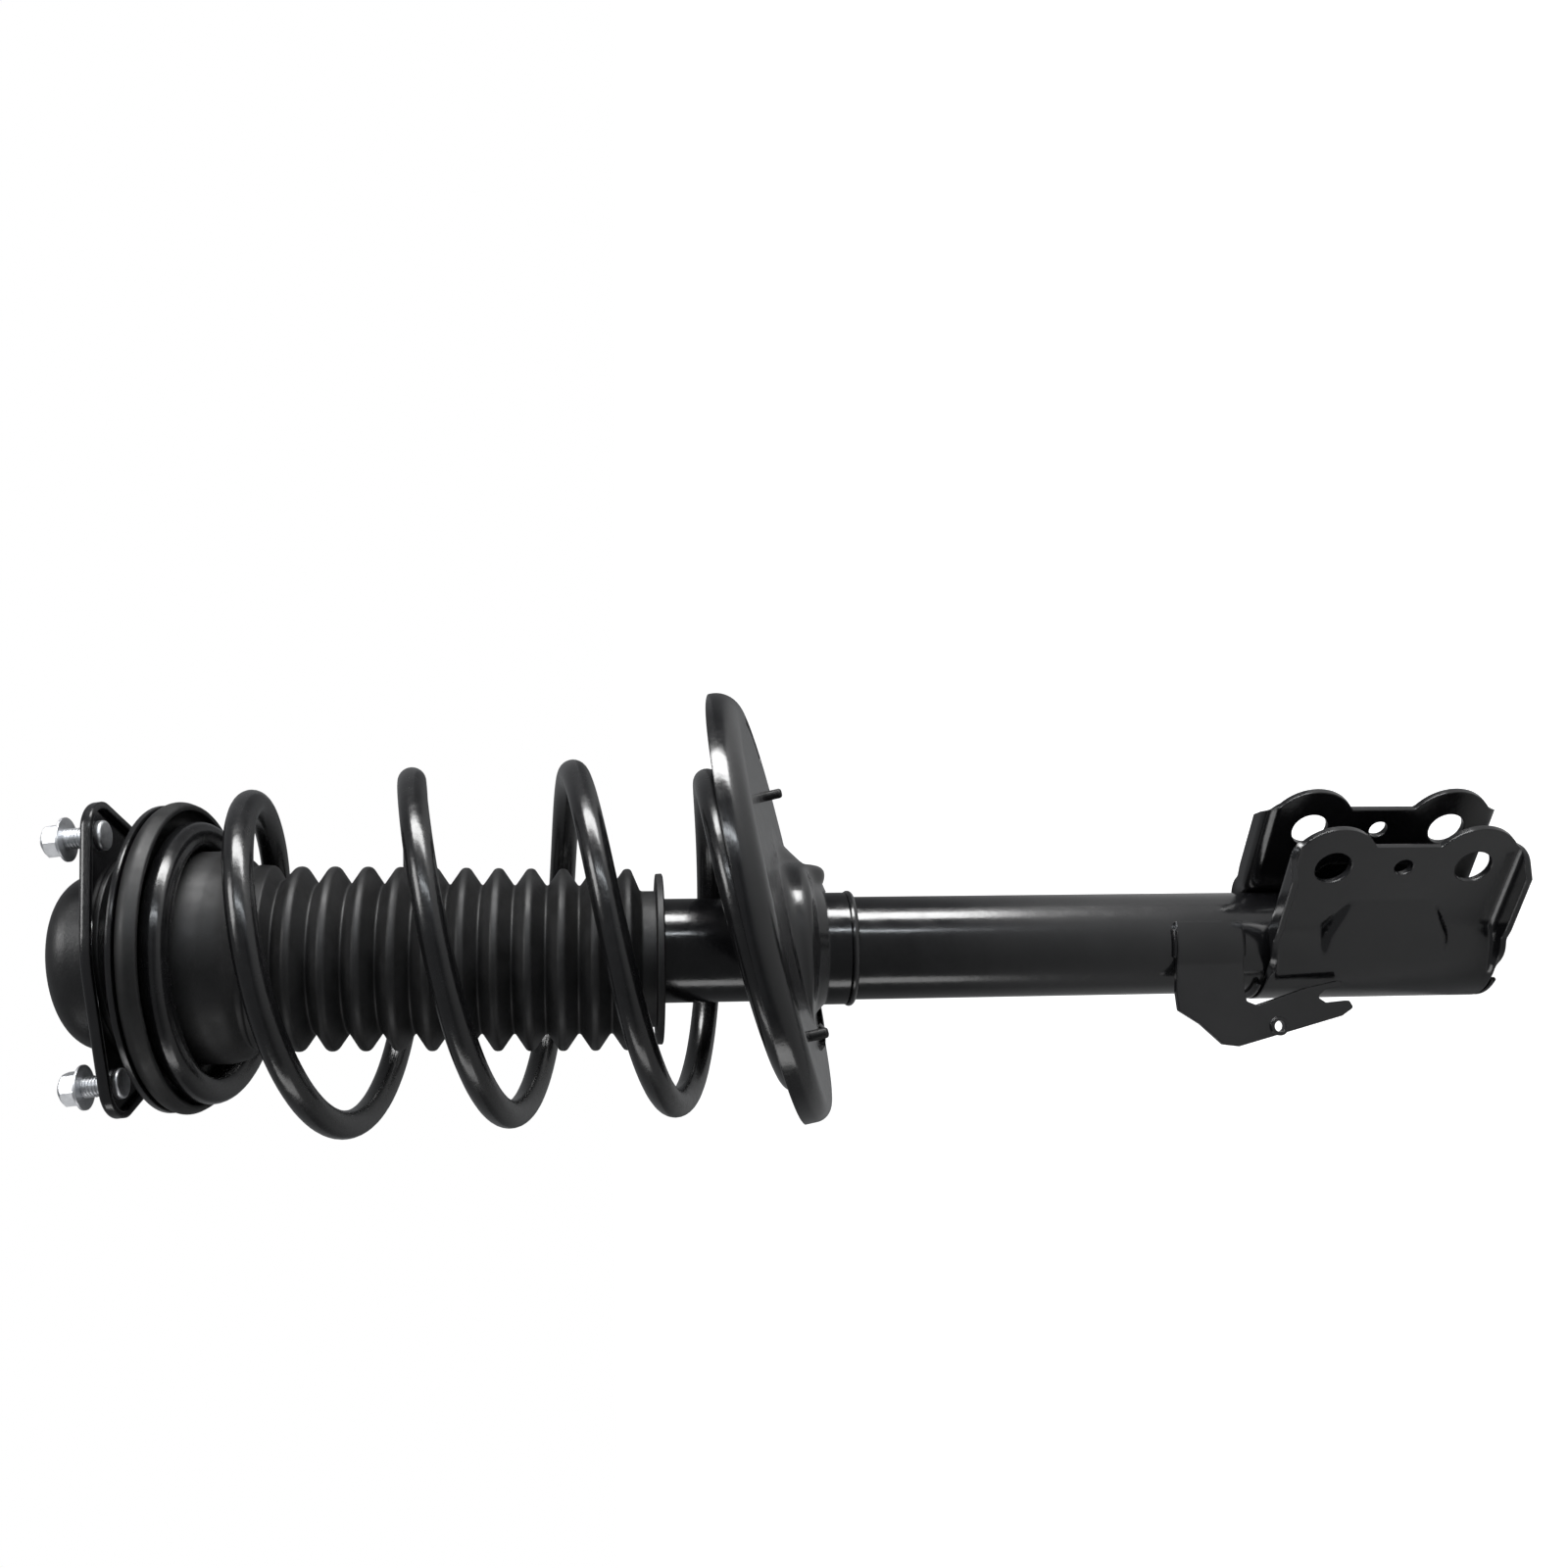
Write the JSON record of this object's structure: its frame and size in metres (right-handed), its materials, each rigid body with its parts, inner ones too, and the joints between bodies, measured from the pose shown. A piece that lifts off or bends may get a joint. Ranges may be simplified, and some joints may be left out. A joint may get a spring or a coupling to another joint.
{
  "type": "strut assembly",
  "caption": "Suspension strut: damper with piston rod, coil spring on dished seats, folded dust boot, studded top mount, hose bracket and two-eared knuckle bracket.",
  "frame": {"origin": "centre of the top mount's stud circle, on the mount's seating face", "axes": "+Z along the piston rod towards the top mount; +X the way the knuckle bracket's ears point; +Y along the knuckle bolts"},
  "size_m": [0.2171, 0.212, 0.7069],
  "materials": {
    "black_coat": "gloss",
    "satin_coat": "satin",
    "spring_coat": "gloss",
    "zinc": "satin",
    "rubber": "matte",
    "boot_rubber": "matte",
    "foam": "matte",
    "bearing_steel": "satin",
    "chrome_rod": "polished",
    "sintered_iron": "matte",
    "band_plastic": "matte"
  },
  "bodies": {
    "mount": {"mount_plate": "black_coat", "mount_dome": "satin_coat", "dust_cap": "satin_coat", "mount_studs": "zinc", "mount_nuts": "zinc", "mount_rubber": "rubber", "bearing_outer_race": "bearing_steel"},
    "rod_group": {"bearing_inner_race": "bearing_steel", "bearing_balls": "bearing_steel", "spacer_collar": "zinc", "rod_washer": "zinc", "rod_nut": "zinc", "piston_rod": "chrome_rod", "rebound_stop": "bearing_steel", "piston": "sintered_iron", "piston_band": "band_plastic", "valve_shims": "bearing_steel", "piston_nut": "zinc", "upper_spring_seat": "black_coat", "upper_insulator": "rubber", "coil_spring": "spring_coat", "bump_stop": "foam", "dust_boot": "boot_rubber"},
    "damper": {"outer_tube": "black_coat", "rod_seal": "rubber", "rod_guide": "sintered_iron", "inner_tube": "bearing_steel", "base_valve": "sintered_iron", "bottom_cap": "black_coat", "lower_spring_seat": "black_coat", "lower_insulator": "rubber", "collar_weld": "black_coat", "knuckle_bracket": "black_coat", "bracket_welds": "black_coat", "hose_bracket": "black_coat", "hose_weld": "black_coat"}
  },
  "joints": [
    {"name": "steer", "type": "hinge", "parent": "mount", "child": "rod_group", "pos_m": [0, 0, 0], "axis": [0, 0, 1], "range_deg": [-38, 38]},
    {"name": "stroke", "type": "slide", "parent": "rod_group", "child": "damper", "axis": [0, 0, 1], "range_m": [0, 0.135], "stiffness_N_per_m": 25000, "springref_m": -0.04, "deforming": ["coil_spring", "dust_boot", "bump_stop"]}
  ]
}
